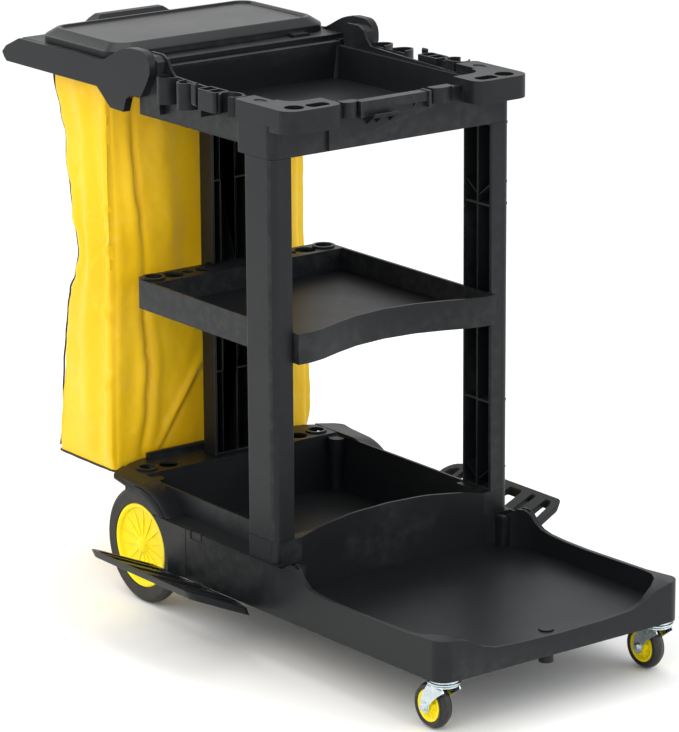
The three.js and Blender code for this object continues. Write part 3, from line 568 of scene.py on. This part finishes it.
# strength of the near side's valley and ridge, by height
VALLEY = [(0.2, 0.7), (0.45, 1.0), (0.6, 1.1), (0.75, 0.5), (0.88, 0.3)]
RIDGE = [(0.2, 0.4), (0.42, 0.8), (0.6, 1.0), (0.8, 0.8)]
# small buckles on the near side: height, place from rear to front, depth, slope
BUCKLES = ((0.585, 0.86, 0.0060, 0.10), (0.475, 0.84, 0.0065, -0.12), (0.560, 0.62, 0.0035, 0.16),
           (0.345, 0.86, 0.0050, 0.08), (0.655, 0.84, 0.0035, -0.10), (0.700, 0.30, 0.0030, 0.2))


def wobble(x, y, z, scale, seed=0.0):
    return noise.noise(Vector((x * scale + seed, y * scale - seed, z * scale)))


def bag_ring(z, n_front=96, n_side=44, n_corner=7):
    """One level of the bag as (point, outward normal, face, place on the face)."""
    t = (BAG_TOP - z) / (BAG_TOP - BAG_BOTTOM)
    near = table(z, REAR_EDGE)
    far = lerp(0.668, 0.694, t) + 0.010 * math.sin(t * 7.0 + 0.6) - 0.014 * gauss(t - 0.45, 0.2)
    front = 0.5185 - 0.004 * math.sin(math.pi * t)
    w_near = -0.2035 - 0.0015 * math.sin(t * 3.0)
    w_far = 0.2015 + 0.009 * t - 0.002 * math.sin(t * 6.0)
    rf, rr = lerp(0.012, 0.024, math.sin(math.pi * min(1, t * 1.1)) ** 2), 0.011
    out = []

    def corner(cx, cy, r, a0, face0, face1):
        for i in range(1, n_corner):
            a = math.radians(a0 + 90 * i / n_corner)
            out.append((cx + r * math.cos(a), cy + r * math.sin(a), (math.cos(a), math.sin(a)),
                        face0 if i < n_corner / 2 else face1))

    def run(xa, ya, xb, yb, n, face, normal):
        for i in range(n + 1):
            u = i / n
            out.append((lerp(xa, xb, u), lerp(ya, yb, u), normal, face))

    run(w_near + rf, front, w_far - rf, front, n_front, "front", (0, -1))
    corner(w_far - rf, front + rf, rf, -90, "front", "far")
    run(w_far, front + rf, w_far, far - rr, n_side, "far", (1, 0))
    corner(w_far - rr, far - rr, rr, 0, "far", "back")
    run(w_far - rr, far, w_near + rr, near, n_front, "back", (0, 1))
    corner(w_near + rr, near - rr, rr, 90, "back", "near")
    run(w_near, near - rr, w_near, front + rf, n_side, "near", (-1, 0))
    corner(w_near + rf, front + rf, rf, 180, "near", "front")
    return out, t, near, far


def bag_push(x, y, z, t, face, near, far):
    """How far the cloth stands out from its plain shape here."""
    free = min(1.0, t / 0.10) * min(1.0, (1 - t) / 0.05)
    d = 0.0045 * wobble(x, y, z * 0.45, 9.0, 3.1) + 0.0022 * wobble(x, y, z * 0.7, 24.0, 7.7)
    d += 0.0008 * wobble(x, y, z, 70.0, 1.3)
    if face == "front":
        u = x - table(z, FOLD)
        depth = 0.6 + 0.4 * math.sin(z * 19.0 + 1.0)
        d += 0.0085 * depth * gauss(u + 0.011, 0.0125) - 0.0080 * depth * gauss(u - 0.0035, 0.0055)
        d += 0.0035 * gauss(u - 0.021, 0.010) * table(z, [(0.3, 1.0), (0.6, 0.2), (0.9, 0.0)])
        # drawn crease from the column down towards the left bottom corner
        line = (x + 0.001) * 0.836 + (z - 0.386) * -0.549
        along = (x + 0.001) * -0.549 + (z - 0.386) * -0.836
        on = gauss(along - 0.105, 0.115)
        d += on * (0.0065 * gauss(line + 0.006, 0.008) - 0.0060 * gauss(line - 0.003, 0.0045))
        d += (0.004 * gauss(x + 0.09, 0.03) * gauss(z - 0.60, 0.16)
              - 0.004 * gauss(x + 0.055, 0.022) * gauss(z - 0.62, 0.2))
        d += 0.0035 * gauss(x + 0.10, 0.02) * gauss(z - 0.76, 0.07)
    elif face == "near":
        s = (near - y) / (near - 0.515)          # 0 at the rear edge, 1 at the front
        d += 0.010 * gauss(s - 0.93, 0.10) * (0.75 + 0.25 * math.sin(z * 11.0))
        d -= 0.0075 * gauss(s - 0.70, 0.11) * table(z, VALLEY)
        d += 0.0060 * gauss(s - 0.46, 0.12) * table(z, RIDGE)
        d -= 0.0050 * gauss(s - 0.25, 0.08) * gauss(z - 0.60, 0.10)
        # small buckles where the side pulls in at mid height
        for zc, sc, amp, slope in BUCKLES:
            k = z - zc - slope * (s - sc)
            d += (amp * gauss(k, 0.010) * gauss(s - sc, 0.09)
                  - amp * 0.9 * gauss(k - 0.017, 0.009) * gauss(s - sc, 0.08))
    elif face == "back":
        d += 0.006 * math.sin(x * 34.0 + 2.2 * math.sin(z * 8.0)) * (0.4 + 0.6 * t)
        d += 0.006 * gauss(x - 0.06, 0.05) - 0.006 * gauss(x + 0.07, 0.04)
    else:
        s = (far - y) / (far - 0.515)
        d += 0.008 * gauss(s - 0.9, 0.12) - 0.006 * gauss(s - 0.62, 0.12) + 0.005 * gauss(s - 0.3, 0.12)
    return d * free


def make_bag():
    levels = 150
    rows, rear_near, rear_far = [], [], []
    for k in range(levels + 1):
        z = lerp(BAG_TOP, BAG_BOTTOM, k / levels)
        ring, t, near, far = bag_ring(z)
        row = []
        for x, y, nrm, face in ring:
            d = bag_push(x, y, z, t, face, near, far)
            dz = 0.0015 * wobble(x, y, z, 12.0, 5.0) * (1 - t)
            row.append((x + nrm[0] * d, y - Y0 + nrm[1] * d, z + dz))
        rows.append(row)
        rear_near.append(Vector((-0.2035 + 0.0030, near - Y0 + 0.0004, z)))
        rear_far.append(Vector((0.1995 + 0.009 * t, far - Y0, z)))
    # bottom panel: rings that shrink towards the middle and sag a little
    base = rows[-1]
    cx = sum(q[0] for q in base) / len(base)
    cy = sum(q[1] for q in base) / len(base)
    for k in (0.985, 0.95, 0.88, 0.75, 0.58, 0.4, 0.2, 0.03):
        rows.append([(lerp(cx, x, k), lerp(cy, y, k), BAG_BOTTOM - 0.0005 - 0.0035 * (1 - k * k)
                      + 0.001 * wobble(x * k, y * k, 0, 18.0)) for x, y, _ in base])
    sh = Shape().grid(rows, close_u=True)
    k = len(sh.v) - len(base)
    sh.f.append([k + i for i in range(len(base))])
    o = sh.object("bag_cloth", BAG_CLOTH, sharp=75)
    stands_for(o, "chassis", "bag", "bag")

    # piping round the bottom seam, and the zip tape that runs down behind the left rear edge
    loop = []
    for x, y, z in base[::3]:
        lift = 0.0012 + 0.0007 * wobble(x, y, z, 40.0)
        loop.append((x * 1.003, y + (0.0012 if y > cy else -0.0012), z + lift))
    pipe = Shape().tube(loop, 0.0021, 8, closed=True).object("bag_piping", PIPING)
    tape = Shape()
    for line, sx in ((rear_near, -1), (rear_far, 1)):
        pts = []
        for i, q in enumerate(line[4:-1:2]):
            swell = 0.0022 * max(0, wobble(0, 0, q.z, 21.0, 4.0))
            pts.append(q + Vector((sx * 0.0006 * math.sin(i * 0.35), 0.0012 + swell, 0)))
        tape.tube(pts, 0.0017, 8)
    zip_tape = tape.object("bag_zip_tape", PIPING, weld=False)
    # hem that is turned over at the mouth, with two lines of stitches
    hem = Shape()
    top = rows[0]
    n = len(top)
    cyt = sum(q[1] for q in top) / n
    cxt = sum(q[0] for q in top) / n

    def out(q, d, dz):
        """A point of the mouth moved outward by d and up by dz."""
        v = Vector((q[0] - cxt, q[1] - cyt, 0)).normalized() * d
        return (q[0] + v.x, q[1] + v.y, q[2] + dz)

    hem.grid([[out(q, -0.0010, -0.026) for q in top], [out(q, -0.0012, -0.001) for q in top],
              [out(q, -0.0004, 0.0010) for q in top], [out(q, 0.0010, 0.0002) for q in top],
              [out(q, 0.0012, -0.026) for q in top]], close_u=True)
    hem_o = hem.object("bag_hem", BAG_CLOTH, weld=False)
    st = Shape()
    for dz in (-0.008, -0.022):
        for i in range(0, n, 2):
            a, b = out(top[i], -0.0016, dz), out(top[(i + 1) % n], -0.0016, dz)
            st.tube([a, [lerp(p, q, 0.8) for p, q in zip(a, b)]], 0.0004, 5)
    stitches = st.object("bag_stitches", THREAD, weld=False)
    for piece in (pipe, zip_tape, hem_o, stitches):
        stands_for(piece, "chassis", "bag")


make_bag()


# ------------------------------------------------------------------ floor, light, camera
WORLD_STRENGTH = 1.03
# name, place, target, size, watts, colour
LIGHTS = [
    ("key", (-2.8, -1.6, 2.6), (0, 0, 0.5), (2.2, 2.2), 34, (1.0, 0.95, 0.84)),
    ("front", (1.6, -3.2, 1.9), (0, 0, 0.5), (1.6, 2.2), 18, (0.88, 0.95, 1.0)),
    ("top", (0.2, 0.6, 3.4), (0, 0, 0.5), (2.2, 2.2), 34, (1, 1, 1)),
    ("rim", (-1.2, 3.2, 2.2), (0, 0.2, 0.6), (1.8, 1.8), 24, (1, 1, 1)),
]
# the camera, measured from the middle of the front columns' front face
CAMERA_AT = (-3.74016, -4.80057, 2.16992)
YAW, PITCH, ROLL = 0.6522, 0.2742, -0.0048
SENSOR_MM = 36
LENS_MM = 191.14426229508197
SHIFT_X, SHIFT_Y = -0.025136612021857893, 0.0017076502732240437


def make_stage():
    floor_mesh = bpy.data.meshes.new("floor")
    bm = bmesh.new()
    bmesh.ops.create_grid(bm, x_segments=1, y_segments=1, size=14)
    bm.to_mesh(floor_mesh)
    bm.free()
    floor = bpy.data.objects.new("floor", floor_mesh)
    bpy.context.scene.collection.objects.link(floor)
    m = Mat("PaleFloor")
    col = m.mix(m.mapr(m.noise(1.2, 3.0), 0.3, 0.7, 0.0, 1.0), hexcol("fdfdfc"), hexcol("fafaf9"))
    floor.data.materials.append(m.done(Base_Color=col, Roughness=m.mapr(m.noise(3.0), 0.3, 0.7, 0.75, 0.9)))

    world = bpy.data.worlds.new("studio")
    bpy.context.scene.world = world
    world.use_nodes = True
    world.node_tree.nodes["Background"].inputs["Color"].default_value = (1, 1, 1, 1)
    world.node_tree.nodes["Background"].inputs["Strength"].default_value = WORLD_STRENGTH

    for name, loc, target, size, power, color in LIGHTS:
        light = bpy.data.lights.new(name, "AREA")
        light.shape = "RECTANGLE"
        light.size, light.size_y = size
        light.energy = power
        light.color = color
        o = bpy.data.objects.new(name, light)
        bpy.context.scene.collection.objects.link(o)
        o.location = loc
        o.rotation_euler = (Vector(target) - Vector(loc)).to_track_quat("-Z", "Y").to_euler()


def make_camera():
    cam = bpy.data.cameras.new("camera")
    o = bpy.data.objects.new("camera", cam)
    bpy.context.scene.collection.objects.link(o)
    fwd = Vector((math.sin(YAW) * math.cos(PITCH), math.cos(YAW) * math.cos(PITCH), -math.sin(PITCH)))
    right = Vector((math.cos(YAW), -math.sin(YAW), 0))
    up = right.cross(fwd)
    r = right * math.cos(ROLL) + up * math.sin(ROLL)
    u = -right * math.sin(ROLL) + up * math.cos(ROLL)
    rot = Matrix((r, u, -fwd)).transposed()
    x, y, z = CAMERA_AT
    o.matrix_world = Matrix.Translation((x, y - Y0, z)) @ rot.to_4x4()
    cam.sensor_fit = "AUTO"
    cam.sensor_width = SENSOR_MM
    cam.lens = LENS_MM
    cam.shift_x = SHIFT_X
    cam.shift_y = SHIFT_Y
    cam.clip_start, cam.clip_end = 0.05, 60
    bpy.context.scene.camera = o


make_stage()
make_camera()

bpy.context.scene.view_settings.view_transform = "Standard"
